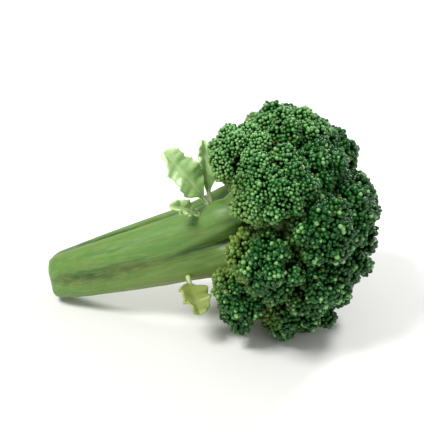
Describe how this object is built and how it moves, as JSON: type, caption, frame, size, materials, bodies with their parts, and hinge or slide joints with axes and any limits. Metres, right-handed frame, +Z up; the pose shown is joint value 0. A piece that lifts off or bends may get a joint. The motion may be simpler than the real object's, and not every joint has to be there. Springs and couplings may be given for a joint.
{
  "type": "broccoli floret",
  "caption": "Cooked broccoli floret lying on its side: a ridged pale green stalk that forks into branches under a dome of dark green bud clusters, with a few small leaflets.",
  "frame": {"origin": "centre of the bounding box on the ground, under the middle of the floret as it lies", "axes": "+X from the cut end of the stalk towards the crown, along the floret's length; +Z up from the ground; +Y to the floret's back, away from the side that the picture looks at"},
  "size_m": [0.064, 0.044, 0.0425],
  "materials": {
    "stalk": "moist, fairly glossy plant flesh",
    "buds": "dark green buds, moist, with small bright glints",
    "leaf": "thin moist leaf, half shiny"
  },
  "bodies": {
    "root": {"stalk": "stalk", "bud_cluster_01": "buds", "bud_cluster_02": "buds", "bud_cluster_03": "buds", "bud_cluster_04": "buds", "bud_cluster_05": "buds", "bud_cluster_06": "buds", "bud_cluster_07": "buds", "bud_cluster_08": "buds", "bud_cluster_09": "buds", "bud_cluster_10": "buds", "bud_cluster_11": "buds", "bud_cluster_12": "buds", "bud_cluster_13": "buds", "bud_cluster_14": "buds", "bud_cluster_15": "buds", "bud_cluster_16": "buds", "bud_cluster_17": "buds", "bud_cluster_low": "buds", "leaflet_1": "leaf", "leaflet_2": "leaf", "leaflet_3": "leaf", "leaflet_4": "leaf"}
  },
  "joints": []
}
